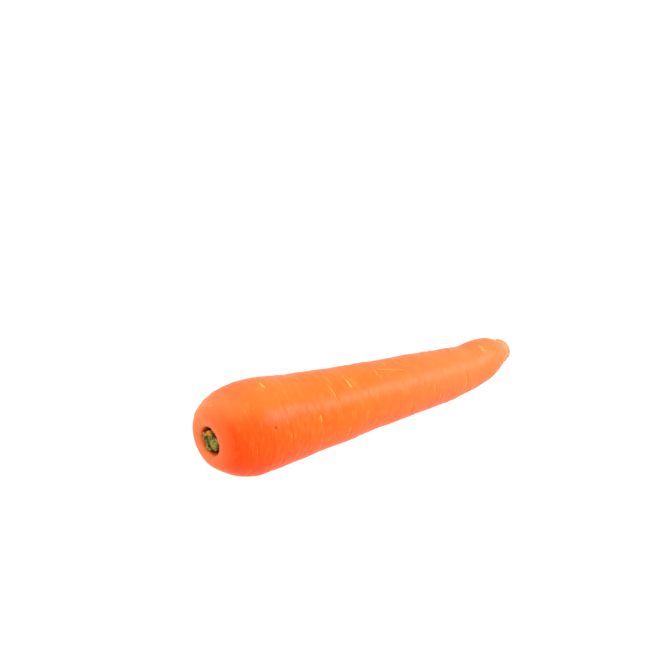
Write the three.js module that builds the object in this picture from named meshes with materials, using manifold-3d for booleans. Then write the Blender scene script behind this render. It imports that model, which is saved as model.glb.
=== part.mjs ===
// A whole carrot with its tops trimmed off, lying on its side as it would on a table.
// Millimetres, +Z up. The crown is at -X, the blunt tail at +X. The origin is on the surface, midway along.
// "Along" is the distance behind the crown's lip. "Round" is the angle about the carrot's own line:
// 0 faces +Y, 90 degrees faces up, 180 faces -Y and 270 faces down.

import * as THREE from "three";
import { mergeVertices } from "three/addons/utils/BufferGeometryUtils.js";
import Module from "manifold-3d";

const wasm = await Module();
wasm.setup();

// Driving dimensions of the root.
const LENGTH = 192.5;
const SHOULDER = { along: 22, radius: 22.6, roundness: 1.69 };
const LIP_RADIUS = 11.3;
const HOLLOW_DEPTH = 7.0;
const TAIL_START = 179.5;
const CROWN_X = -LENGTH / 2;
const PRESSED_FLAT = 0.35;
const SMOOTH_LIP = 4;
const SMOOTH_TIP = 2;
const TIP_DENT = 0.5;

// Radius of the root behind its shoulder, down to the broken tip: [along, radius].
const TAPER = [
  [SHOULDER.along, SHOULDER.radius],
  [30, 22.35],
  [40, 21.35],
  [60, 19.6],
  [80, 18.1],
  [100, 16.5],
  [119, 15.45],
  [135, 14.3],
  [149, 13.35],
  [161, 11.95],
  [171, 11.4],
  [TAIL_START, 9.7],
  [184.6, 7.6],
  [186.8, 6.4],
  [188.2, 6.35],
  [190.4, 6.0],
  [191.8, 4.9],
  [LENGTH, 3.2],
];

// The root's line: its height over the surface, and how far it wanders to +Y.
const LINE_HEIGHT = [
  [0, 23.1],
  [22, 22.6],
  [40, 21.3],
  [60, 19.6],
  [100, 16.9],
  [119, 15.6],
  [135, 14.6],
  [149, 13.6],
  [160, 13.4],
  [171, 14.8],
  [180, 15.4],
  [LENGTH, 15.5],
];
const LINE_SIDEWAYS = [
  [0, 0],
  [149, 0.3],
  [171, 0.6],
  [LENGTH, 2.4],
];

// The funnel in the crown that the leaf stalks grew from: [radius, along], from its floor out to the lip.
const HOLLOW = [
  [0, HOLLOW_DEPTH],
  [4.7, HOLLOW_DEPTH],
  [5.9, 6.0],
  [6.4, 4.0],
  [6.7, 2.4],
  [7.2, 1.3],
  [8.1, 0.6],
  [9.5, 0.15],
];

// The funnel stands a little off the crown's middle, to +Y and down.
// The crown's flesh takes up the difference.
const HOLLOW_SHIFT = { y: 0.8, z: -1.2 };
const SHIFT_FADE = { radius: [8, 18], along: [8, 16] };

// The crown is not quite square to the root's line: its upper side stands further out than its lower side.
const CROWN_SLOPE = 0.075;
const CROWN_SLOPE_END = 26;

// Facets, and the distance within which corners are one.
const SIDES = 40;
const RING_PITCH = 2.0;
const SHOULDER_RINGS = 12;
const WELD = 1e-4;

const TURN = 2 * Math.PI;
const degrees = (angle) => (angle * Math.PI) / 180;
const smooth = (low, high, x) => THREE.MathUtils.smoothstep(x, low, high);

// An even, repeatable scatter over 0 to 1.
const scatter = (n, seed) => {
  const x = n * 0.7548776662 + seed * 0.5698402910;
  return x - Math.floor(x);
};

// A curve through stations [x, y] that never overshoots them.
function steadyCurve(stations) {
  const gaps = stations.slice(1).map(([x], i) => x - stations[i][0]);
  const rises = gaps.map((gap, i) => (stations[i + 1][1] - stations[i][1]) / gap);
  const slopes = stations.map((_, i) => {
    if (i === 0) return rises[0];
    if (i === gaps.length) return rises[i - 1];
    if (rises[i - 1] * rises[i] <= 0) return 0;
    const a = 2 * gaps[i] + gaps[i - 1];
    const b = gaps[i] + 2 * gaps[i - 1];
    return (a + b) / (a / rises[i - 1] + b / rises[i]);
  });
  return (x) => {
    let i = 0;
    while (i < gaps.length - 1 && x > stations[i + 1][0]) i++;
    const t = THREE.MathUtils.clamp((x - stations[i][0]) / gaps[i], 0, 1);
    const start = stations[i][1];
    const end = stations[i + 1][1];
    return (
      start * (1 + 2 * t) * (1 - t) ** 2 +
      slopes[i] * gaps[i] * t * (1 - t) ** 2 +
      end * t * t * (3 - 2 * t) +
      slopes[i + 1] * gaps[i] * t * t * (t - 1)
    );
  };
}

const taper = steadyCurve(TAPER);
const lineHeight = steadyCurve(LINE_HEIGHT);
const lineSideways = steadyCurve(LINE_SIDEWAYS);

// A point in the part's frame, from its place along the root, its distance from the line and its angle.
function placeOnRoot(along, radius, round) {
  const step = 0.5;
  const rise = (lineHeight(along + step) - lineHeight(along - step)) / (2 * step);
  const drift = (lineSideways(along + step) - lineSideways(along - step)) / (2 * step);
  const forward = new THREE.Vector3(1, drift, rise).normalize();
  const side = new THREE.Vector3(0, 0, 1).cross(forward).normalize();
  const up = forward.clone().cross(side);
  const shift = (1 - smooth(...SHIFT_FADE.radius, radius)) * (1 - smooth(...SHIFT_FADE.along, along));
  const slope = CROWN_SLOPE * (1 - smooth(0, CROWN_SLOPE_END, along));
  const x = CROWN_X + along - slope * radius * Math.sin(round);
  return new THREE.Vector3(x, lineSideways(along), lineHeight(along) - PRESSED_FLAT)
    .addScaledVector(side, radius * Math.cos(round))
    .addScaledVector(up, radius * Math.sin(round))
    .add(new THREE.Vector3(0, shift * HOLLOW_SHIFT.y, shift * HOLLOW_SHIFT.z));
}

// Root scars: short creases across the root, left where side roots grew. Each has its place along and round
// the root, its half length and its depth. The plain ones are on the upper side and the side facing -Y.
const PLAIN_SCARS = [
  { along: 12, round: 184, reach: 3.6, depth: 0.25 },
  { along: 26, round: 101, reach: 3.0, depth: 0.35 },
  { along: 30, round: 177, reach: 3.2, depth: 0.3 },
  { along: 49, round: 164, reach: 2.8, depth: 0.4 },
  { along: 61, round: 136, reach: 6.4, depth: 0.4 },
  { along: 73, round: 125, reach: 3.4, depth: 0.45 },
  { along: 93, round: 117, reach: 2.8, depth: 0.35 },
  { along: 103, round: 94, reach: 3.0, depth: 0.35 },
  { along: 118, round: 96, reach: 7.0, depth: 0.2 },
  { along: 132, round: 195, reach: 3.2, depth: 0.4 },
  { along: 151, round: 176, reach: 5.0, depth: 0.65 },
  { along: 170, round: 120, reach: 3.4, depth: 0.3 },
];

// The rest are scattered about the ranks that side roots grow in, shallow and short for the most part.
const SCAR_RANKS = [20, 225, 305, 345];
const RANK_WIDTH = 44;
const SCAR_SPACING = 10.5;
const SCAR_REACH = { least: 2.0, more: 4.5 };
const SCAR_DEPTH = { least: 0.12, more: 0.26 };

function scars() {
  const found = [...PLAIN_SCARS];
  SCAR_RANKS.forEach((rank, r) => {
    for (let n = 0; SCAR_SPACING * (n + 1) < TAIL_START; n++) {
      found.push({
        along: SCAR_SPACING * (n + 0.6 + 0.8 * scatter(n, r)),
        round: rank + RANK_WIDTH * (scatter(n, r + 7) - 0.5),
        reach: SCAR_REACH.least + SCAR_REACH.more * scatter(n, r + 13) ** 2,
        depth: SCAR_DEPTH.least + SCAR_DEPTH.more * scatter(n, r + 19),
      });
    }
  });
  return found.map((scar) => ({ ...scar, along: Math.round(scar.along / RING_PITCH) * RING_PITCH }));
}
const SCARS = scars();

// A crease is a narrow groove with a lower, wider swelling about it. Widths are half widths along the root.
const GROOVE = { width: 1.1, share: 1.2 };
const SWOLLEN_EDGE = { width: 2.4, share: 0.45 };

// The root swells and narrows in slow waves, and its section is a little out of round.
const SWELLINGS = [
  { height: 0.12, wavelength: 31, twist: 1.4, turn: 0 },
  { height: 0.05, wavelength: 13.7, twist: 2.2, turn: 1 },
];
const LOBES = [
  { share: 0.011, count: 2, drift: 60 },
  { share: 0.008, count: 3, drift: -45 },
];

// How far the skin stands above or below the plain taper.
function relief(along, radius, round) {
  let height = 0;
  for (const { height: rise, wavelength, twist, turn } of SWELLINGS) {
    height += rise * Math.sin((TURN * along) / wavelength + twist * Math.sin(round + turn));
  }
  for (const { share, count, drift } of LOBES) {
    height += radius * share * Math.cos(count * round + along / drift);
  }
  for (const scar of SCARS) {
    const behind = along - scar.along;
    if (Math.abs(behind) > 2 * SWOLLEN_EDGE.width) continue;
    const away = Math.atan2(Math.sin(round - degrees(scar.round)), Math.cos(round - degrees(scar.round)));
    const across = (away * radius) / scar.reach;
    const groove = GROOVE.share * Math.exp(-((behind / GROOVE.width) ** 2));
    const edge = SWOLLEN_EDGE.share * Math.exp(-((behind / SWOLLEN_EDGE.width) ** 2));
    height += scar.depth * Math.exp(-(across ** 4)) * (edge - groove);
  }
  return height;
}

// The root's outline from the hollow's floor, over the lip and shoulder, to the tail's tip.
// Each place has its radius, its distance along, and how much of the relief it takes.
function rootOutline() {
  const outline = HOLLOW.map(([radius, along]) => ({ radius, along, share: 0 }));
  for (let i = 0; i < SHOULDER_RINGS; i++) {
    const along = SHOULDER.along * (1 - Math.cos((i / SHOULDER_RINGS) * (Math.PI / 2)));
    const bulge = (1 - (1 - along / SHOULDER.along) ** SHOULDER.roundness) ** (1 / SHOULDER.roundness);
    const radius = LIP_RADIUS + (SHOULDER.radius - LIP_RADIUS) * bulge;
    outline.push({ radius, along, share: smooth(0, SMOOTH_LIP, along) });
  }
  for (let along = SHOULDER.along; along < TAIL_START; along += RING_PITCH) {
    outline.push({ radius: taper(along), along, share: 1 });
  }
  for (const [along, radius] of TAPER.filter(([along]) => along >= TAIL_START)) {
    outline.push({ radius, along, share: 1 - smooth(TAIL_START, LENGTH - SMOOTH_TIP, along) });
  }
  outline.push({ radius: 0, along: LENGTH - TIP_DENT, share: 0 });
  return outline;
}

// The root: one swollen taproot, turned from its outline, then bent along its line and pressed flat below.
function rootGeometry() {
  const outline = rootOutline();
  const turned = new THREE.LatheGeometry(
    outline.map(({ radius, along }) => new THREE.Vector2(radius, along)),
    SIDES,
  );
  const position = turned.getAttribute("position");
  for (let i = 0; i < position.count; i++) {
    const { radius, along, share } = outline[i % outline.length];
    const round = Math.atan2(position.getX(i), position.getZ(i)) + Math.PI / 2;
    const skin = radius + (share ? share * relief(along, radius, round) : 0);
    const point = placeOnRoot(along, skin, round);
    position.setXYZ(i, point.x, point.y, Math.max(point.z, 0));
  }
  return turned;
}

// A closed geometry as a manifold solid, and back.
function toSolid(geometry) {
  const bare = geometry.clone();
  bare.deleteAttribute("normal");
  bare.deleteAttribute("uv");
  const merged = mergeVertices(bare, WELD);
  const vertProperties = new Float32Array(merged.getAttribute("position").array);
  const triVerts = new Uint32Array(merged.index.array);
  return new wasm.Manifold(new wasm.Mesh({ numProp: 3, vertProperties, triVerts }));
}

function toGeometry(solid) {
  const mesh = solid.getMesh();
  const geometry = new THREE.BufferGeometry();
  geometry.setAttribute("position", new THREE.BufferAttribute(new Float32Array(mesh.vertProperties), 3));
  geometry.setIndex(new THREE.BufferAttribute(new Uint32Array(mesh.triVerts), 1));
  geometry.computeVertexNormals();
  return geometry;
}

// The stub of the trimmed tops stands in the hollow. Its own frame has 0 on the hollow's floor, +Z out of
// the crown, +Y up and +X towards the part's -Y. It keeps a hair's gap to the hollow and to the dried stalk.
const STUB_GAP = 0.35;
const CORE = { radius: 4.2, height: 5.2 };
const GREEN_STALKS = 8;
const GOLDEN_ANGLE = degrees(137.508);

// The room in the hollow, less the gap.
function hollowRoom() {
  const wall = HOLLOW.slice(1).map(
    ([radius, along], i) => new THREE.Vector2(radius - STUB_GAP, i ? HOLLOW_DEPTH - along : STUB_GAP),
  );
  const top = HOLLOW_DEPTH + 4;
  const outline = [
    new THREE.Vector2(0, STUB_GAP),
    ...wall,
    new THREE.Vector2(wall.at(-1).x, top),
    new THREE.Vector2(0, top),
  ];
  return toSolid(new THREE.LatheGeometry(outline, 28).rotateX(Math.PI / 2));
}

// A cut leaf stalk: a blunt crescent in section, hollow towards the stub's middle, cut at a slant.
function sheathGeometry({ width, thickness, height, slant }) {
  const section = new THREE.Shape();
  section.moveTo(-width / 2, -thickness * 0.15);
  section.quadraticCurveTo(-width / 2, thickness * 0.6, 0, thickness * 0.75);
  section.quadraticCurveTo(width / 2, thickness * 0.6, width / 2, -thickness * 0.15);
  section.quadraticCurveTo(width * 0.28, -thickness * 0.3, 0, -thickness * 0.12);
  section.quadraticCurveTo(-width * 0.28, -thickness * 0.3, -width / 2, -thickness * 0.15);
  const geometry = new THREE.ExtrudeGeometry(section, {
    depth: height,
    steps: 2,
    curveSegments: 4,
    bevelEnabled: false,
  });
  const position = geometry.getAttribute("position");
  for (let i = 0; i < position.count; i++) {
    const share = position.getZ(i) / height;
    const narrowing = 1 - 0.16 * share;
    const x = position.getX(i) * narrowing;
    const y = position.getY(i) * narrowing;
    const z = position.getZ(i) + share * (slant.x * x + slant.y * y);
    position.setXYZ(i, x, y, z);
  }
  return geometry;
}

// The oldest leaf stalk, the first of the rosette, has dried to ochre. It stands in the hollow's upper part.
const DRIED = {
  out: 3.0,
  turn: degrees(102),
  lean: degrees(4),
  width: 4.8,
  thickness: 2.4,
  height: 6.1,
  slant: { x: -0.2, y: -0.25 },
};

// The knife's cut over the stalks: its height in the middle, and how it slants across the hollow.
const CUT = { height: 5.3, slopeX: -0.14, slopeY: 0.15, uneven: 0.8 };

// Green leaf stalk n of the rosette, the outer and older ones first, each leaning out a little.
function stalkPlace(n) {
  const age = 1 - n / GREEN_STALKS;
  const out = 1.2 + 3.1 * Math.sqrt(age);
  const turn = DRIED.turn + n * GOLDEN_ANGLE;
  const slope = CUT.slopeX * Math.cos(turn) + CUT.slopeY * Math.sin(turn);
  return {
    out,
    turn,
    lean: degrees(2 + 3 * age),
    width: 3.0 + 2.8 * age,
    thickness: 1.9 + 0.6 * age,
    height: CUT.height + slope * out + CUT.uneven * scatter(n, 0),
    slant: { x: 0.5 * (scatter(n, 5) - 0.5), y: -0.35 * scatter(n, 11) },
  };
}

function placedStalk(stalk) {
  const geometry = sheathGeometry(stalk);
  geometry.rotateX(-stalk.lean);
  geometry.translate(0, stalk.out, 0);
  geometry.rotateZ(stalk.turn - Math.PI / 2);
  return toSolid(geometry);
}

// The green stub: the stem's short core, with the cut leaf stalks sunk into it, cleared for the dried stalk.
function greenStub() {
  const core = new THREE.LatheGeometry(
    [
      new THREE.Vector2(0, 0),
      new THREE.Vector2(CORE.radius, 0),
      new THREE.Vector2(CORE.radius, CORE.height * 0.35),
      new THREE.Vector2(CORE.radius * 0.8, CORE.height * 0.85),
      new THREE.Vector2(0, CORE.height),
    ],
    14,
  ).rotateX(Math.PI / 2);
  let stub = toSolid(core);
  for (let n = 1; n <= GREEN_STALKS; n++) {
    stub = stub.add(placedStalk(stalkPlace(n)));
  }
  const cleared = placedStalk({
    ...DRIED,
    out: DRIED.out - STUB_GAP,
    width: DRIED.width + 2 * STUB_GAP,
    thickness: DRIED.thickness + 4 * STUB_GAP,
    height: DRIED.height + 3,
  });
  return stub.subtract(cleared).intersect(hollowRoom());
}

function driedStalk() {
  return placedStalk(DRIED).intersect(hollowRoom());
}

// Sets a solid of the stub's frame into the hollow.
function setInCrown(solid) {
  const geometry = toGeometry(solid);
  const position = geometry.getAttribute("position");
  for (let i = 0; i < position.count; i++) {
    const radius = Math.hypot(position.getX(i), position.getY(i));
    const round = Math.atan2(position.getY(i), -position.getX(i));
    const point = placeOnRoot(HOLLOW_DEPTH - position.getZ(i), radius, round);
    position.setXYZ(i, point.x, point.y, point.z);
  }
  geometry.computeVertexNormals();
  return geometry;
}

const skin = new THREE.MeshStandardMaterial({ color: "#f4671f", roughness: 0.42, metalness: 0 });
const green = new THREE.MeshStandardMaterial({ color: "#7c8038", roughness: 0.6, metalness: 0 });
const ochre = new THREE.MeshStandardMaterial({ color: "#c98a2a", roughness: 0.7, metalness: 0 });

function piece(name, geometry, material) {
  const mesh = new THREE.Mesh(geometry, material);
  mesh.name = name;
  return mesh;
}

const carrot = new THREE.Group();
carrot.add(piece("taproot", rootGeometry(), skin));
carrot.add(piece("leaf_stalk_stub", setInCrown(greenStub()), green));
carrot.add(piece("dried_leaf_stalk", setInCrown(driedStalk()), ochre));

export default carrot;
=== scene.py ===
import math

import bmesh
import bpy
import numpy as np
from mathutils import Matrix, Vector


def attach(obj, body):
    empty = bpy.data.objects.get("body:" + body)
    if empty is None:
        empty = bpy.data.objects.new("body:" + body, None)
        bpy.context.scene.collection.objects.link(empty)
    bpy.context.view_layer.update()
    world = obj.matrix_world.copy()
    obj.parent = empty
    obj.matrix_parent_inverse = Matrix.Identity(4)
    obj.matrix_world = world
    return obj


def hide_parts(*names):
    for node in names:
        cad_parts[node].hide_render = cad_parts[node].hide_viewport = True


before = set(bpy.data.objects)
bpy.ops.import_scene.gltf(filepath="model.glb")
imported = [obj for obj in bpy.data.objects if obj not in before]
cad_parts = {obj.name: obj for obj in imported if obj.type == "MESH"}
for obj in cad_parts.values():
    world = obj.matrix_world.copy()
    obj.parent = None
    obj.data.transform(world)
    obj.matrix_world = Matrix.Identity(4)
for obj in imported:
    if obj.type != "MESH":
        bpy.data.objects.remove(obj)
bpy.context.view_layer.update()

# The camera. It looks at the carrot as the photograph does: through a long lens, from 22 degrees above the
# surface, and from 39 degrees round from the root's side towards its crown, so that the crown is nearest.
LENS, SENSOR = 83.33, 36.0
VIEW_ROUND, VIEW_DOWN = math.radians(-39.4), math.radians(22.0)
VIEW_TARGET = Vector((0.06875, 0.1188, 0.0))
VIEW_DISTANCE = 0.8682

toward_camera = Vector((
    math.sin(VIEW_ROUND) * math.cos(VIEW_DOWN),
    -math.cos(VIEW_ROUND) * math.cos(VIEW_DOWN),
    math.sin(VIEW_DOWN),
))
camera = bpy.data.objects.new("camera", bpy.data.cameras.new("camera"))
bpy.context.scene.collection.objects.link(camera)
camera.data.lens = LENS
camera.data.sensor_width = SENSOR
camera.data.clip_start = 0.01
camera.data.clip_end = 50.0
camera.location = VIEW_TARGET + toward_camera * VIEW_DISTANCE
camera.rotation_mode = "QUATERNION"
camera.rotation_quaternion = (-toward_camera).to_track_quat("-Z", "Y")
bpy.context.scene.camera = camera


# The taproot: one swollen root of crisp orange flesh under a thin satin skin. It grew as one piece, round in
# section, with a hollow in its crown and a blunt tail whose fine end has snapped off.

# Sizes are in millimetres. "Along" is the distance behind the crown's lip, and "turn" the angle about the
# root's line: 0 faces +Y, 90 degrees faces up, 180 faces -Y and 270 faces down.
MM = 0.001
LENGTH = 192.5
CROWN_X = -LENGTH / 2
SHOULDER_ALONG, SHOULDER_RADIUS, SHOULDER_ROUNDNESS = 22.0, 22.6, 1.69
LIP_RADIUS = 11.3
HOLLOW_DEPTH = 7.0
TAIL_START = 179.5
PRESSED_FLAT = 0.35
# The radius behind the shoulder, (along, radius), down to the middle of the broken tip.
TAPER = [
    (22.0, 22.6), (30.0, 22.35), (40.0, 21.35), (60.0, 19.6), (80.0, 18.1), (100.0, 16.5), (119.0, 15.45),
    (135.0, 14.3), (149.0, 13.35), (161.0, 11.95), (171.0, 11.4), (179.5, 9.7), (184.6, 7.6), (186.8, 6.4),
    (188.2, 6.35), (190.4, 6.0), (191.8, 4.9), (192.5, 3.2), (192.0, 0.0),
]
# How high the root's line runs over the surface, and how far it bends to the side: (along, distance).
LINE_HEIGHT = [
    (0.0, 23.1), (22.0, 22.6), (40.0, 21.3), (60.0, 19.6), (100.0, 16.9), (119.0, 15.6), (135.0, 14.6),
    (149.0, 13.6), (160.0, 13.4), (171.0, 14.8), (180.0, 15.4), (192.5, 15.5),
]
LINE_SIDEWAYS = [(0.0, 0.0), (149.0, 0.3), (171.0, 0.6), (192.5, 2.4)]
# The crown's hollow, (radius, along), from the middle of its floor to the lip, and how far it is off centre.
HOLLOW = [
    (0.0, 7.0), (2.5, 7.0), (4.7, 6.95), (5.9, 6.0), (6.4, 4.0), (6.7, 2.4), (7.2, 1.3), (8.1, 0.6),
    (9.5, 0.15), (11.3, 0.0),
]
HOLLOW_SHIFT = (0.8, -1.2)
CROWN_SLOPE, CROWN_SLOPE_END = 0.075, 26.0
SIDES = 172
RING_PITCH = 0.43
SHOULDER_RINGS = 68


def steady_curve(stations):
    """A curve through stations (x, y) that never overshoots them."""
    x, y = np.array(stations, float).T
    gaps = np.diff(x)
    rises = np.diff(y) / gaps
    before, after = rises[:-1], rises[1:]
    near, far = 2 * gaps[1:] + gaps[:-1], gaps[1:] + 2 * gaps[:-1]
    runs_on = before * after > 0
    blended = (near + far) / (near / np.where(runs_on, before, 1) + far / np.where(runs_on, after, 1))
    slopes = np.concatenate([rises[:1], np.where(runs_on, blended, 0), rises[-1:]])

    def curve(at):
        i = np.clip(np.searchsorted(x, at) - 1, 0, len(gaps) - 1)
        t = np.clip((at - x[i]) / gaps[i], 0, 1)
        start = y[i] * (1 + 2 * t) * (1 - t) ** 2 + slopes[i] * gaps[i] * t * (1 - t) ** 2
        return start + y[i + 1] * t * t * (3 - 2 * t) + slopes[i + 1] * gaps[i] * t * t * (t - 1)

    return curve


def smooth_step(low, high, value):
    """0 below low and 1 above high, with a soft change between."""
    share = np.clip((value - low) / (high - low), 0, 1)
    return share * share * (3 - 2 * share)


def even_steps(points, pitch):
    """Points along a smooth curve through the given ones, pitch apart."""
    points = np.array(points, float)
    run = np.concatenate([[0], np.cumsum(np.hypot(*np.diff(points, axis=0).T))])
    steps = np.linspace(0, run[-1], max(2, round(run[-1] / pitch)))
    return np.column_stack([steady_curve(np.column_stack([run, axis]))(steps) for axis in points.T])


line_height = steady_curve(LINE_HEIGHT)
line_sideways = steady_curve(LINE_SIDEWAYS)


def place_on_root(along, radius, turn):
    """Points in the part's frame, in metres, from places about the root's line."""
    step = 0.5
    rise = (line_height(along + step) - line_height(along - step)) / (2 * step)
    drift = (line_sideways(along + step) - line_sideways(along - step)) / (2 * step)
    forward = np.column_stack([np.ones_like(along), drift, rise])
    forward /= np.linalg.norm(forward, axis=1, keepdims=True)
    side = np.cross([0.0, 0.0, 1.0], forward)
    side /= np.linalg.norm(side, axis=1, keepdims=True)
    up = np.cross(forward, side)
    slope = CROWN_SLOPE * (1 - smooth_step(0, CROWN_SLOPE_END, along))
    x = CROWN_X + along - slope * radius * np.sin(turn)
    line = np.column_stack([x, line_sideways(along), line_height(along) - PRESSED_FLAT])
    spread = side * (radius * np.cos(turn))[:, None] + up * (radius * np.sin(turn))[:, None]
    off_centre = (1 - smooth_step(8, 18, radius)) * (1 - smooth_step(8, 16, along))
    return (line + spread + np.outer(off_centre, [0, *HOLLOW_SHIFT])) * MM


# Root scars: short creases across the root, left where side roots grew, each with a thread of pale corky
# tissue. A row has the place along and round, the half length, the depth, how pale it is, the thread's half
# width, and how far it slants along the root from end to end. These are the ones that stand out.
PLAIN_SCARS = [
    (12.0, 184, 3.6, 0.25, 0.45, 0.30, 0.3),
    (18.0, 169, 1.8, 0.08, 0.40, 0.35, 0.2),
    (26.0, 101, 2.6, 0.35, 0.90, 0.65, -0.4),
    (30.3, 177, 3.0, 0.30, 0.55, 0.40, 0.5),
    (49.3, 164, 2.4, 0.40, 0.75, 0.50, 0.6),
    (61.0, 136, 6.4, 0.40, 0.70, 0.32, 1.4),
    (73.0, 125, 2.9, 0.45, 1.00, 0.50, 0.5),
    (93.0, 117, 2.2, 0.35, 0.60, 0.45, -0.6),
    (103.0, 94, 2.2, 0.35, 0.65, 0.40, 0.5),
    (118.5, 95, 7.6, 0.20, 0.30, 0.35, -7.0),
    (132.0, 195, 2.5, 0.40, 0.60, 0.45, -0.4),
    (151.0, 176, 4.2, 0.65, 0.55, 0.55, 0.8),
    (170.0, 120, 3.0, 0.30, 0.55, 1.00, -0.6),
    (3.6, 84, 1.6, 0.05, 0.55, 0.90, 0.4),
    (8.7, 104, 1.4, 0.08, 0.40, 0.60, 0.3),
]
# The others stand in loose ranks along the root's other sides, at these angles.
SCAR_RANKS = [20, 225, 305, 345]
RANK_WIDTH = 44
SCAR_SPACING = 10.5
GROOVE_WIDTH, GROOVE_SHARE = 0.75, 1.15
EDGE_WIDTH, EDGE_SHARE = 2.2, 0.42
# Faint scars are scattered all over, each value of a row between a lowest and a highest.
FAINT_SCARS = 150
FAINT_RANGES = [(6, 184), (0, 360), (0.6, 3.4), (0.02, 0.10), (0.15, 0.60), (0.18, 0.40), (-1.0, 1.0)]


def scatter(n, seed):
    """An even, repeatable scatter over 0 to 1."""
    x = n * 0.7548776662 + seed * 0.5698402910
    return x - math.floor(x)


def all_scars():
    found = list(PLAIN_SCARS)
    for r, rank in enumerate(SCAR_RANKS):
        n = 0
        while SCAR_SPACING * (n + 1) < TAIL_START:
            found.append((
                SCAR_SPACING * (n + 0.6 + 0.8 * scatter(n, r)),
                rank + RANK_WIDTH * (scatter(n, r + 7) - 0.5),
                2.0 + 4.5 * scatter(n, r + 13) ** 2,
                0.12 + 0.26 * scatter(n, r + 19),
                0.25 + 0.5 * scatter(n, r + 23),
                0.30 + 0.35 * scatter(n, r + 29),
                2.4 * (scatter(n, r + 31) - 0.5),
            ))
            n += 1
    draw = np.random.default_rng(11)
    for _ in range(FAINT_SCARS):
        found.append(tuple(draw.uniform(low, high) for low, high in FAINT_RANGES))
    return found


SCARS = all_scars()


def scar_relief(along, radius, turn):
    """The creases' height over the plain skin, and how much pale tissue shows."""
    height, pale = np.zeros_like(along), np.zeros_like(along)
    for place, angle, reach, depth, paleness, thread, slant in SCARS:
        near = np.nonzero(np.abs(along - place) < 2.2 * EDGE_WIDTH + abs(slant))[0]
        away = (turn[near] - math.radians(angle) + math.pi) % (2 * math.pi) - math.pi
        across = away * radius[near] / reach
        behind = along[near] - place - slant * across / 2
        window = np.exp(-across ** 4)
        groove = GROOVE_SHARE * np.exp(-(behind / GROOVE_WIDTH) ** 2)
        edge = EDGE_SHARE * np.exp(-(behind / EDGE_WIDTH) ** 2)
        height[near] += depth * window * (edge - groove)
        pale[near] = np.maximum(pale[near], paleness * window * np.exp(-(behind / thread) ** 2))
    return height, pale


def waves(along, turn, seed, count, shortest, longest, most_turns):
    """A sum of waves of many lengths along the root, each of which closes on itself round it."""
    draw = np.random.default_rng(seed)
    total, power = np.zeros_like(along), 0.0
    for _ in range(count):
        length = draw.uniform(shortest, longest)
        turns = draw.integers(-most_turns, most_turns + 1)
        height = length / longest
        start = draw.uniform(0, 2 * math.pi)
        total += height * np.sin(2 * math.pi * along / length + turns * turn + start)
        power += height ** 2 / 2
    return total / math.sqrt(power)


# The root swells and narrows in slow waves: each one's height, its length, its twist, and where it starts.
SWELLINGS = [(0.12, 31.0, 1.4, 0.0), (0.05, 13.7, 2.2, 1.0)]
# Its section is a little out of round, in lobes: their share of the radius, their count, and their drift.
LOBES = [(0.011, 2, 60), (0.008, 3, -45)]
WRINKLE_HEIGHT = 0.048
UNEVEN_HEIGHT = 0.030
SKIN_INSET = 0.08


def skin_relief(along, radius, turn):
    """The skin's height over the plain taper, with fine wrinkles that run round the root and come and go."""
    height = np.zeros_like(along)
    for rise, length, twist, start in SWELLINGS:
        height += rise * np.sin(2 * math.pi * along / length + twist * np.sin(turn + start))
    for share, count, drift in LOBES:
        height += radius * share * np.cos(count * turn + along / drift)
    height += UNEVEN_HEIGHT * waves(along, turn, 5, 26, 9, 34, 5)
    strength = np.clip(0.55 + 0.45 * waves(along, turn, 6, 12, 24, 70, 3), 0.1, 1.3)
    height += WRINKLE_HEIGHT * strength * waves(along, turn, 7, 60, 1.7, 6.0, 9)
    return height


def root_outline():
    """The root's outline from the hollow's floor, over the lip and shoulder, to the tail's tip."""
    hollow = even_steps(HOLLOW, RING_PITCH * 0.8)
    rings = np.linspace(0, math.pi / 2, SHOULDER_RINGS)[1:]
    along = SHOULDER_ALONG * (1 - np.cos(rings))
    bulge = (1 - (1 - along / SHOULDER_ALONG) ** SHOULDER_ROUNDNESS) ** (1 / SHOULDER_ROUNDNESS)
    shoulder = np.column_stack([LIP_RADIUS + (SHOULDER_RADIUS - LIP_RADIUS) * bulge, along])
    body_along = np.arange(SHOULDER_ALONG + RING_PITCH, TAIL_START, RING_PITCH)
    body = np.column_stack([steady_curve(TAPER[:-1])(body_along), body_along])
    tail = even_steps([(radius, along) for along, radius in TAPER if along >= TAIL_START], RING_PITCH * 0.8)
    return np.vstack([hollow, shoulder, body, tail])


def lathe_mesh(name, outline, sides):
    """A closed mesh turned about the X axis from an outline of (radius, along)."""
    turned = bmesh.new()
    corners = [turned.verts.new((along, radius, 0)) for radius, along in outline]
    chain = [turned.edges.new(pair) for pair in zip(corners, corners[1:])]
    bmesh.ops.spin(
        turned, geom=corners + chain, cent=(0, 0, 0), axis=(1, 0, 0), angle=2 * math.pi, steps=sides,
        use_merge=True,
    )
    bmesh.ops.remove_doubles(turned, verts=turned.verts, dist=1e-4)
    bmesh.ops.recalc_face_normals(turned, faces=turned.faces)
    mesh = bpy.data.meshes.new(name)
    turned.to_mesh(mesh)
    turned.free()
    return mesh


def mesh_points(mesh):
    points = np.empty(len(mesh.vertices) * 3, np.float32)
    mesh.vertices.foreach_get("co", points)
    return points.reshape(-1, 3).astype(float)


def set_mesh_points(mesh, points):
    mesh.vertices.foreach_set("co", points.astype(np.float32).ravel())
    mesh.update()


def set_attribute(mesh, name, values):
    attribute = mesh.attributes.new(name, "FLOAT", "POINT")
    attribute.data.foreach_set("value", np.asarray(values, np.float32))


def shade_smooth(mesh):
    mesh.polygons.foreach_set("use_smooth", [True] * len(mesh.polygons))


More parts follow.
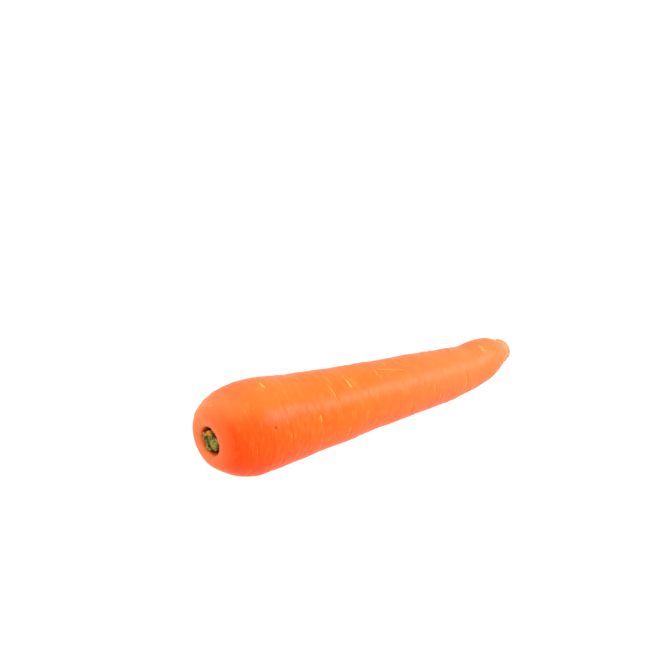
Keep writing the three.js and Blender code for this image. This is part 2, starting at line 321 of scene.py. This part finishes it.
# A dark pit stands on the shoulder. The broken tip is fibrous, and the hollow's wall is a little uneven.
PIT_ALONG, PIT_TURN, PIT_RADIUS, PIT_DEPTH = 22.0, math.radians(160), 0.75, 0.45
BROKEN_START, BROKEN_END = 185.5, 187.5
TIP_INSET, TIP_ROUGHNESS, FIBRE_HEIGHT = 0.3, 0.08, 0.12
HOLLOW_UNEVEN = 0.10

root_mesh = lathe_mesh("carrot_root", root_outline(), SIDES)
along, y, z = mesh_points(root_mesh).T
radius, turn = np.hypot(y, z), np.arctan2(z, y)
in_hollow = (radius < LIP_RADIUS - 0.01) & (along < HOLLOW_DEPTH + 0.1)
broken = smooth_step(BROKEN_START, BROKEN_END, along)
relief_share = np.where(in_hollow, 0, smooth_step(0, 4, along))
relief_share = relief_share * (1 - smooth_step(TAIL_START, LENGTH - 2, along))
creases, pale = scar_relief(along, radius, turn)
pit_away = (turn - PIT_TURN + math.pi) % (2 * math.pi) - math.pi
pit = np.exp(-((along - PIT_ALONG) ** 2 + (pit_away * radius) ** 2) / PIT_RADIUS ** 2) * ~in_hollow
skin = radius + relief_share * (skin_relief(along, radius, turn) + creases - SKIN_INSET) - PIT_DEPTH * pit
fibres = waves(along, turn, 21, 40, 1.2, 5.0, 14)
skin += broken * FIBRE_HEIGHT * fibres * smooth_step(0.2, 2.5, radius)
skin += in_hollow * HOLLOW_UNEVEN * waves(along, turn, 22, 30, 2.0, 6.0, 12) * smooth_step(2.0, 5.0, radius)
torn_end = broken * (TIP_ROUGHNESS * waves(radius * 3, turn, 23, 24, 2.0, 7.0, 6) - TIP_INSET)
points = place_on_root(along + torn_end, skin, turn)
points[:, 2] = np.maximum(points[:, 2], 0)
set_mesh_points(root_mesh, points)
shade_smooth(root_mesh)
set_attribute(root_mesh, "pale", pale * ~in_hollow)
set_attribute(root_mesh, "pit", pit)
set_attribute(root_mesh, "sunk", np.where(in_hollow, smooth_step(0.2, HOLLOW_DEPTH, along), 0))
set_attribute(root_mesh, "broken", broken)
root = bpy.data.objects.new("carrot_root", root_mesh)
bpy.context.scene.collection.objects.link(root)


class Shade:
    """A socket in a material. Arithmetic on it adds the Math nodes that work it out."""

    def __init__(self, tree, socket=None):
        self.tree, self.socket = tree, socket

    def node(self, kind, settings=(), sockets=(), output=0):
        made = self.tree.nodes.new(kind)
        for name, value in dict(settings).items():
            if name == "stops":
                ramp = made.color_ramp
                while len(ramp.elements) < len(value):
                    ramp.elements.new(0.5)
                for element, (place, colour) in zip(ramp.elements, value):
                    element.position, element.color = place, colour
            else:
                setattr(made, name, value)
        for name, value in dict(sockets).items():
            if isinstance(value, Shade):
                self.tree.links.new(value.socket, made.inputs[name])
            else:
                made.inputs[name].default_value = value
        return Shade(self.tree, made.outputs[output])

    def math(self, operation, *values):
        return self.node("ShaderNodeMath", {"operation": operation}, dict(enumerate(values)))

    def __add__(self, other):
        return self.math("ADD", self, other)

    def __sub__(self, other):
        return self.math("SUBTRACT", self, other)

    def __rsub__(self, other):
        return self.math("SUBTRACT", other, self)

    def __mul__(self, other):
        return self.math("MULTIPLY", self, other)

    __radd__ = __add__
    __rmul__ = __mul__

    def noise(self, place, grain, detail=3.0, roughness=0.55, warp=0.0):
        """Noise over a place in metres, with its grain's size in millimetres along X, Y and Z."""
        scale = tuple(1 / (size * MM) for size in grain)
        moved = self.node("ShaderNodeMapping", {}, {"Vector": place, "Scale": scale})
        sockets = {"Vector": moved, "Scale": 1.0, "Detail": detail, "Roughness": roughness}
        sockets["Distortion"] = warp
        return self.node("ShaderNodeTexNoise", {}, sockets)

    def step(self, low, high):
        """0 below low and 1 above high, with a soft change between."""
        settings = {"interpolation_type": "SMOOTHSTEP"}
        return self.node("ShaderNodeMapRange", settings, {"Value": self, "From Min": low, "From Max": high})

    def tint(self, base, colour):
        """base, turned to colour where this is 1."""
        return self.node("ShaderNodeMix", {"data_type": "RGBA"}, {0: self, 6: base, 7: colour}, output=2)


def new_material(name):
    material = bpy.data.materials.new(name)
    material.use_nodes = True
    material.node_tree.nodes.clear()
    return material, Shade(material.node_tree)


def finish_material(shade, surface, sockets):
    """Ends a material in one Principled surface, with its constants set straight on its sockets."""
    made = shade.node("ShaderNodeBsdfPrincipled", surface, sockets)
    end = shade.tree.nodes.new("ShaderNodeOutputMaterial")
    shade.tree.links.new(made.socket, end.inputs["Surface"])


# The skin's own colour is mottled and blotched and paler towards the tail. Fine pale rings run round it, and
# the scars are corky. Painted shade makes it deepest on the shoulder's low side; painted light makes its top
# paler, the crown palest on its far side, and adds to the tail's paler tone. The hollow turns deep red, then
# dark brown
# with depth: partly its own colour, partly painted shade.
# Deep orange: the skin's own mottle, and painted shade on the shoulder's low side.
DEEP_ORANGE_AND_SHADE = (0.92, 0.066, 0.0010, 1)
ORANGE = (0.93, 0.097, 0.0025, 1)
# Light orange: the skin's own pale blotches, and painted light on the root's top.
LIGHT_ORANGE_AND_TOP_LIGHT = (0.94, 0.146, 0.026, 1)
TAIL_ORANGE = (0.94, 0.134, 0.040, 1)
# Painted light: the peach of the crown, where it looks lit.
LIT_CROWN_PEACH = (0.94, 0.245, 0.078, 1)
CORK = (0.95, 0.44, 0.110, 1)
STREAK = (0.94, 0.240, 0.055, 1)
PIT_BROWN = (0.30, 0.040, 0.006, 1)
# The hollow's colours: partly its own red-brown, partly painted shade that deepens towards its floor.
HOLLOW_RED_AND_SHADE = (0.72, 0.085, 0.010, 1)
HOLLOW_BROWN_AND_SHADE = (0.060, 0.030, 0.010, 1)
BROKEN_PINK = (0.94, 0.190, 0.095, 1)

skin_material, shade = new_material("carrot_skin")
place = shade.node("ShaderNodeTexCoord", output="Object")
lengthwise = shade.node("ShaderNodeSeparateXYZ", {}, {0: place})
sideways = shade.node("ShaderNodeSeparateXYZ", {}, {0: place}, output=1)
upwards = shade.node("ShaderNodeSeparateXYZ", {}, {0: place}, output=2)
# Paler towards the tail: partly the root's own colour, partly painted light for the sheen on the tail.
tail_share = lengthwise.step(-0.055, 0.080)
# Painted shade: the shoulder's low near side is made a deeper orange, as where less light falls.
painted_shade_share = (1 - sideways.step(-0.0145, -0.001)) * (1 - upwards.step(0.031, 0.043))
painted_shade_share = painted_shade_share * lengthwise.step(-0.0975, -0.092) * (1 - lengthwise.step(-0.080, -0.038))
# Painted light: the crown is made a pale peach, most on its far side, as if lit there.
lit_crown_share = (1 - lengthwise.step(-0.0955, -0.080)) * (1 - painted_shade_share)
lit_crown_share = lit_crown_share * (0.45 + sideways.step(-0.010, 0.008) * 0.55)
mottle = shade.noise(place, (15, 11, 11), detail=3, warp=0.4)
blotch = shade.noise(place, (4.0, 5.0, 5.0), detail=4, roughness=0.6)
rings = shade.noise(place, (0.9, 8.0, 8.0), detail=4, roughness=0.6, warp=0.25)
hair_rings = shade.noise(place, (0.35, 3.2, 3.2), detail=3, roughness=0.6, warp=0.15)
speckle = shade.noise(place, (0.55, 0.8, 0.8), detail=2)
# Deep orange from painted shade on the shoulder's low side, and from the skin's own mottle.
colour = (painted_shade_share * 0.95 + (1 - mottle.step(0.34, 0.66)) * 0.40).tint(ORANGE, DEEP_ORANGE_AND_SHADE)
# Painted light: the root's top is made paler, as where the light from above falls.
colour = (upwards.step(0.030, 0.046) * 0.45).tint(colour, LIGHT_ORANGE_AND_TOP_LIGHT)
colour = (lit_crown_share * 0.85).tint(colour, LIT_CROWN_PEACH)
colour = (tail_share * 0.75).tint(colour, TAIL_ORANGE)
colour = (blotch.step(0.46, 0.74) * (1 - painted_shade_share * 0.7) * 0.45).tint(colour, LIGHT_ORANGE_AND_TOP_LIGHT)
colour = (rings.step(0.50, 0.80) * blotch.step(0.35, 0.65) * 0.55).tint(colour, STREAK)
colour = (hair_rings.step(0.56, 0.80) * 0.16).tint(colour, STREAK)
colour = (speckle.step(0.66, 0.82) * 0.25).tint(colour, CORK)
scar_mark = shade.node("ShaderNodeAttribute", {"attribute_name": "pale"}, output="Fac")
scar_mark = (scar_mark + (hair_rings - 0.5) * 0.45 + (speckle - 0.5) * 0.45).step(0.15, 0.95)
colour = (scar_mark * 0.75).tint(colour, CORK)
pit_mark = shade.node("ShaderNodeAttribute", {"attribute_name": "pit"}, output="Fac")
colour = pit_mark.step(0.15, 0.6).tint(colour, PIT_BROWN)
broken_mark = shade.node("ShaderNodeAttribute", {"attribute_name": "broken"}, output="Fac")
colour = (broken_mark * 0.85).tint(colour, BROKEN_PINK)
sunk_mark = shade.node("ShaderNodeAttribute", {"attribute_name": "sunk"}, output="Fac")
# Down the hollow the wall turns deep red, then dark brown at the floor: partly its own colour, partly painted
# shade in the recess.
colour = (sunk_mark + (blotch - 0.5) * 0.2).step(0.04, 0.34).tint(colour, HOLLOW_RED_AND_SHADE)
colour = (sunk_mark + (speckle - 0.5) * 0.2).step(0.30, 0.80).tint(colour, HOLLOW_BROWN_AND_SHADE)
roughness = 0.38 + (rings - 0.5) * 0.45 + (blotch - 0.5) * 0.20 + scar_mark * 0.15
relief = rings * 0.5 + hair_rings * 0.35 + speckle * 0.25
bump = shade.node("ShaderNodeBump", {}, {"Strength": 0.80, "Distance": 0.00018, "Height": relief})
finish_material(shade, {"subsurface_method": "RANDOM_WALK"}, {
    "Base Color": colour, "Roughness": roughness, "Normal": bump, "IOR": 1.42, "Specular IOR Level": 0.13,
    "Subsurface Weight": 0.15, "Subsurface Radius": (1.0, 0.50, 0.25), "Subsurface Scale": 0.0015,
})
root_mesh.materials.append(skin_material)
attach(root, "root")
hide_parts("taproot")


# The fine side roots: a few that were left on, as thin as sewing thread, dried, and lying along the skin that
# they grew from. Each tapers to its end.

# A row has a side root's start along and round, its run along and round, and its thickness.
SIDE_ROOTS = [
    (95.6, 110.5, 15.3, 12.0, 0.26),
    (38.5, 31.0, 9.0, -8.0, 0.22),
    (52.0, 347.0, -7.5, 14.0, 0.24),
    (84.0, 26.0, 12.5, 9.0, 0.22),
    (99.0, 230.0, 8.0, -12.0, 0.22),
    (127.0, 18.0, -10.0, 10.0, 0.24),
    (141.5, 352.0, 11.0, 8.0, 0.20),
    (158.0, 41.0, 8.5, -14.0, 0.20),
]
THREAD_SIDES, THREAD_RINGS = 8, 60
THREAD_SUNK, THREAD_WANDER = 0.03, 0.15
THREAD_NARROWING, THREAD_TIP = 0.65, 0.03

body_radius = steady_curve(TAPER[:-1])


def drawn_column(sides, rings):
    """A closed upright column, 1 in radius and height, drawn up in even rings, and the face on its top."""
    column = bmesh.new()
    bmesh.ops.create_circle(column, cap_ends=True, segments=sides, radius=1)
    top = column.faces[:]
    for ring in range(rings):
        raised = bmesh.ops.extrude_face_region(column, geom=top)["geom"]
        if ring > 0:
            bmesh.ops.delete(column, geom=top, context="FACES_ONLY")
        top = [item for item in raised if isinstance(item, bmesh.types.BMFace)]
        corners = [item for item in raised if isinstance(item, bmesh.types.BMVert)]
        bmesh.ops.translate(column, verts=corners, vec=(0, 0, 1 / rings))
    bmesh.ops.recalc_face_normals(column, faces=column.faces)
    return column, top


def side_root_mesh(start, angle, run, swing, thickness, seed):
    """A thread over the skin, from (start, angle) to (start + run, angle + swing), with a rounded end."""
    thread, _ = drawn_column(THREAD_SIDES, THREAD_RINGS)
    mesh = bpy.data.meshes.new("side_root")
    thread.to_mesh(mesh)
    thread.free()
    u, v, share = mesh_points(mesh).T
    wander = THREAD_WANDER * waves(share * 10, share * 0, seed, 8, 3, 9, 1) * share
    at = start + run * share
    radius = body_radius(at)
    turn = math.radians(angle) + math.radians(swing) * share + wander / radius
    arc = math.radians(swing) * radius
    length = np.hypot(run, arc)
    past_tip = np.clip(share - (1 - THREAD_TIP), 0, 1) / THREAD_TIP
    half = thickness / 2 * (1 - THREAD_NARROWING * share) * np.sqrt(np.clip(1 - past_tip ** 2, 0.05, 1))
    skin = radius + skin_relief(at, radius, turn) + scar_relief(at, radius, turn)[0] - SKIN_INSET
    at = at - u * half * arc / length
    turn = turn + u * half * run / length / radius
    set_mesh_points(mesh, place_on_root(at, skin + half - THREAD_SUNK + v * half, turn))
    return mesh


joined = bmesh.new()
for seed, row in enumerate(SIDE_ROOTS):
    joined.from_mesh(side_root_mesh(*row, seed=60 + seed))
bmesh.ops.recalc_face_normals(joined, faces=joined.faces)
side_roots_mesh = bpy.data.meshes.new("side_roots")
joined.to_mesh(side_roots_mesh)
joined.free()
shade_smooth(side_roots_mesh)
set_attribute(side_roots_mesh, "pale", np.full(len(side_roots_mesh.vertices), 0.9))
side_roots_mesh.materials.append(skin_material)
side_roots = bpy.data.objects.new("side_roots", side_roots_mesh)
bpy.context.scene.collection.objects.link(side_roots)
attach(side_roots, "root")


# The stub of the trimmed tops: the cut bases of the leaf stalks, fleshy and ribbed like thin celery, grown
# together round the stem's short core. The knife left their ends pale and a little ragged.

# The stub has a frame of its own, in millimetres: 0 on the hollow's floor, +Z out of the crown, +Y up, and +X
# towards the part's -Y. A stalk's size is the youngest one's, and how much more the oldest one's would be.
GREEN_STALKS = 8
GOLDEN_ANGLE = math.radians(137.508)
OLDEST_TURN = math.radians(102)
STALK_WIDTH, STALK_THICKNESS = (3.0, 2.8), (1.9, 0.6)
STALK_OUT, STALK_LEAN = (1.2, 3.1), (2, 3)
STALK_NARROWING, EDGE_THINNING, BEND_START, BEND = 0.16, 0.55, 0.32, 0.75
RIB_COUNT, RIB_HEIGHT = 9, 0.07
CUT_HEIGHT, CUT_SLOPE, CUT_UNEVEN, CUT_DISH = 5.3, (-0.14, 0.15), 0.8, 0.25
STALK_SIDES, STALK_RINGS, CUT_RINGS = 40, 20, 5
CORE_RADIUS = 4.2
CORE = [
    (0.0, 0.3), (CORE_RADIUS, 0.3), (CORE_RADIUS, 3.6), (CORE_RADIUS * 0.9, 4.5), (2.0, 5.1), (0.0, 5.2),
]
DRIED_LEAN = math.radians(4)
ROOM_WIDTH, ROOM_THICKNESS, ROOM_HEIGHT, ROOM_OUT = 5.0, 2.5, 9.0, 2.95


def set_in_crown(points):
    """Points of the stub's frame, placed in the part's frame."""
    x, y, z = points.T
    return place_on_root(HOLLOW_DEPTH - z, np.hypot(x, y), np.arctan2(y, -x))


def stalk_mesh(name, width, thickness, height, slant, ragged, seed):
    """A leaf stalk's base: a ribbed crescent in section, hollow side inwards, up to a ragged cut."""
    grown, top = drawn_column(STALK_SIDES, STALK_RINGS)
    for _ in range(CUT_RINGS):
        bmesh.ops.inset_region(grown, faces=top, thickness=1 / (CUT_RINGS + 1), use_even_offset=True)
    bmesh.ops.poke(grown, faces=top)
    bmesh.ops.recalc_face_normals(grown, faces=grown.faces)
    mesh = bpy.data.meshes.new(name)
    grown.to_mesh(mesh)
    grown.free()
    u, v, share = mesh_points(mesh).T
    angle, out = np.arctan2(v, u), np.hypot(u, v)
    rim = smooth_step(0.5, 1.0, out)
    ribs = RIB_HEIGHT * rim * np.cos(RIB_COUNT * angle)
    narrowing = 1 - STALK_NARROWING * share
    x = (width / 2 * u) * narrowing
    thin = thickness / 2 * v * np.sqrt(1 - EDGE_THINNING * u * u)
    y = (thin + thickness * (BEND_START - BEND * u * u)) * narrowing
    x, y = x + ribs * np.cos(angle), y + ribs * np.sin(angle)
    torn = waves(3 * u + 7 * v, angle, seed, 18, 0.7, 3.5, 5) * ragged
    cut = slant[0] * x + slant[1] * y + torn * (0.5 + 0.5 * rim) - CUT_DISH * (1 - rim)
    set_mesh_points(mesh, np.column_stack([x, y, height * share + share ** 6 * cut]))
    return mesh


def lean_and_turn(mesh, lean, out, turn):
    """Leans a stalk outwards, and sets it out from the stub's middle towards turn."""
    points = mesh_points(mesh)
    x, y, z = points.T
    y, z = y * math.cos(lean) + z * math.sin(lean) + out, z * math.cos(lean) - y * math.sin(lean)
    angle = turn - math.pi / 2
    set_mesh_points(mesh, np.column_stack([
        x * math.cos(angle) - y * math.sin(angle), x * math.sin(angle) + y * math.cos(angle), z,
    ]))


def grown_together(name, meshes, room):
    """One closed mesh from several that cross, with room cut out of it for a piece that stands among them."""
    objects = [bpy.data.objects.new(name, mesh) for mesh in meshes]
    others = bpy.data.collections.new(name + "_others")
    for grown in objects[1:]:
        others.objects.link(grown)
    bpy.context.scene.collection.children.link(others)
    bpy.context.scene.collection.objects.link(objects[0])
    union = objects[0].modifiers.new("grown_together", "BOOLEAN")
    union.operation = "UNION"
    union.operand_type = "COLLECTION"
    union.collection = others
    union.solver = "MANIFOLD"
    cutter = bpy.data.objects.new(name + "_room", room)
    bpy.context.scene.collection.objects.link(cutter)
    clear = objects[0].modifiers.new("clear", "BOOLEAN")
    clear.operation = "DIFFERENCE"
    clear.object = cutter
    clear.solver = "MANIFOLD"
    shaped = objects[0].evaluated_get(bpy.context.evaluated_depsgraph_get())
    joined = bpy.data.meshes.new_from_object(shaped)
    joined.name = name
    joined.materials.clear()
    for used in [*objects, cutter]:
        bpy.data.objects.remove(used)
    bpy.data.collections.remove(others)
    return joined


core_mesh = lathe_mesh("stem_core", even_steps(CORE, 0.3), STALK_SIDES)
set_mesh_points(core_mesh, mesh_points(core_mesh)[:, [1, 2, 0]])
stalk_meshes = []
for n in range(1, GREEN_STALKS + 1):
    age = 1 - n / GREEN_STALKS
    out = STALK_OUT[0] + STALK_OUT[1] * math.sqrt(age)
    stalk_turn = OLDEST_TURN + n * GOLDEN_ANGLE
    slope = CUT_SLOPE[0] * math.cos(stalk_turn) + CUT_SLOPE[1] * math.sin(stalk_turn)
    stalk = stalk_mesh(
        "leaf_stalk",
        width=STALK_WIDTH[0] + STALK_WIDTH[1] * age,
        thickness=STALK_THICKNESS[0] + STALK_THICKNESS[1] * age,
        height=CUT_HEIGHT + slope * out + CUT_UNEVEN * scatter(n, 0),
        slant=(0.5 * (scatter(n, 5) - 0.5), -0.35 * scatter(n, 11)),
        ragged=0.11,
        seed=40 + n,
    )
    lean_and_turn(stalk, math.radians(STALK_LEAN[0] + STALK_LEAN[1] * age), out, stalk_turn)
    stalk_meshes.append(stalk)
dried_room = stalk_mesh("dried_room", ROOM_WIDTH, ROOM_THICKNESS, ROOM_HEIGHT, (0, 0), ragged=0, seed=77)
lean_and_turn(dried_room, DRIED_LEAN, ROOM_OUT, OLDEST_TURN)
stub_mesh = grown_together("leaf_stalk_bases", [core_mesh, *stalk_meshes], dried_room)
set_mesh_points(stub_mesh, set_in_crown(mesh_points(stub_mesh)))
shade_smooth(stub_mesh)
stub = bpy.data.objects.new("leaf_stalk_bases", stub_mesh)
bpy.context.scene.collection.objects.link(stub)

OLIVE = (0.130, 0.105, 0.010, 1)
LEAF_GREEN = (0.230, 0.195, 0.020, 1)
CUT_CREAM = (0.500, 0.390, 0.070, 1)
DRY_EDGE = (0.330, 0.170, 0.020, 1)

green_material, shade = new_material("green_stalk")
place = shade.node("ShaderNodeTexCoord", output="Object")
facing = shade.node("ShaderNodeNewGeometry", output="Normal")
out_of_crown = shade.node("ShaderNodeSeparateXYZ", {}, {0: facing}) * -1.0
fibre = shade.noise(place, (2.5, 0.30, 0.30), detail=3)
patch = shade.noise(place, (1.6, 1.4, 1.4), detail=3, roughness=0.6)
pores = shade.noise(place, (0.22, 0.22, 0.22), detail=2)
cut_face = (out_of_crown + (pores - 0.5) * 0.3).step(0.45, 0.80)
colour = fibre.step(0.35, 0.70).tint(OLIVE, LEAF_GREEN)
colour = (cut_face * patch.step(0.38, 0.66)).tint(colour, CUT_CREAM)
colour = (cut_face * pores.step(0.45, 0.70) * 0.7).tint(colour, LEAF_GREEN)
colour = (patch.step(0.62, 0.75) * 0.7).tint(colour, DRY_EDGE)
relief = fibre * 0.6 + pores * 0.5
bump = shade.node("ShaderNodeBump", {}, {"Strength": 0.5, "Distance": 0.0001, "Height": relief})
finish_material(shade, {}, {
    "Base Color": colour, "Roughness": 0.50 + (pores - 0.5) * 0.3, "Normal": bump, "Specular IOR Level": 0.3,
    "Subsurface Weight": 0.2, "Subsurface Radius": (0.6, 0.8, 0.2), "Subsurface Scale": 0.0008,
})
stub_mesh.materials.append(green_material)
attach(stub, "root")
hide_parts("leaf_stalk_stub")


# The oldest leaf stalk, which died and dried to a brittle ochre strip before the tops were cut. It stands in
# the upper side of the hollow, against the green ones.
DRIED_WIDTH, DRIED_THICKNESS, DRIED_HEIGHT, DRIED_OUT = 4.8, 2.4, 6.1, 3.0

dried_mesh = stalk_mesh(
    "dried_leaf_stalk_base", DRIED_WIDTH, DRIED_THICKNESS, DRIED_HEIGHT, (-0.2, -0.25), ragged=0.22, seed=77,
)
lean_and_turn(dried_mesh, DRIED_LEAN, DRIED_OUT, OLDEST_TURN)
set_mesh_points(dried_mesh, set_in_crown(mesh_points(dried_mesh)))
shade_smooth(dried_mesh)
dried = bpy.data.objects.new("dried_leaf_stalk_base", dried_mesh)
bpy.context.scene.collection.objects.link(dried)

OCHRE = (0.800, 0.300, 0.004, 1)
STRAW = (0.850, 0.390, 0.016, 1)
DRY_BROWN = (0.350, 0.130, 0.015, 1)

dried_material, shade = new_material("dried_stalk")
place = shade.node("ShaderNodeTexCoord", output="Object")
fibre = shade.noise(place, (3.0, 0.25, 0.25), detail=4, roughness=0.6)
patch = shade.noise(place, (1.2, 1.0, 1.0), detail=3)
colour = fibre.step(0.35, 0.65).tint(OCHRE, STRAW)
colour = (patch.step(0.55, 0.72) * 0.8).tint(colour, DRY_BROWN)
bump = shade.node("ShaderNodeBump", {}, {"Strength": 0.7, "Distance": 0.0001, "Height": fibre})
finish_material(shade, {}, {"Base Color": colour, "Roughness": 0.70, "Normal": bump, "IOR": 1.45})
dried_mesh.materials.append(dried_material)
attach(dried, "root")
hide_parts("dried_leaf_stalk")


# The floor and the light: a plain white light table, which glows evenly, so that no shadow shows on it, under
# a wide overhead light. A smaller light at the front right draws the broad sheen along the root's flank.
FLOOR_SIZE = 12.0
FLOOR_BASE = (0.05, 0.05, 0.05, 1)
FLOOR_GLOW = 1.00

floor_form = bmesh.new()
bmesh.ops.create_grid(floor_form, x_segments=2, y_segments=2, size=FLOOR_SIZE / 2)
floor_mesh = bpy.data.meshes.new("floor")
floor_form.to_mesh(floor_mesh)
floor_form.free()
floor = bpy.data.objects.new("floor", floor_mesh)
bpy.context.scene.collection.objects.link(floor)
floor_material, shade = new_material("floor")
finish_material(shade, {}, {
    "Base Color": FLOOR_BASE, "Roughness": 0.9, "Specular IOR Level": 0.1, "Emission Color": (1, 1, 1, 1),
    "Emission Strength": FLOOR_GLOW,
})
floor_mesh.materials.append(floor_material)


def soft_light(name, towards, distance, width, height, brightness):
    """A rectangular light that faces the carrot, of a given brightness where white is 1."""
    towards = Vector(towards).normalized()
    light = bpy.data.lights.new(name, "AREA")
    light.shape = "RECTANGLE"
    light.size, light.size_y = width, height
    light.energy = brightness * math.pi * width * height
    lamp = bpy.data.objects.new(name, light)
    bpy.context.scene.collection.objects.link(lamp)
    lamp.location = towards * distance
    lamp.rotation_mode = "QUATERNION"
    lamp.rotation_quaternion = (-towards).to_track_quat("-Z", "Y")


soft_light("overhead", (0.10, 0.10, 1.0), distance=1.30, width=1.6, height=1.4, brightness=1.3)
soft_light("front_right", (0.59, -0.66, 0.48), distance=0.95, width=0.46, height=0.35, brightness=24.0)

sky = bpy.data.worlds.new("studio")
sky.use_nodes = True
background = next(node for node in sky.node_tree.nodes if node.type == "BACKGROUND")
background.inputs["Color"].default_value = (1, 1, 1, 1)
background.inputs["Strength"].default_value = 1.0
bpy.context.scene.world = sky
bpy.context.scene.view_settings.view_transform = "Standard"
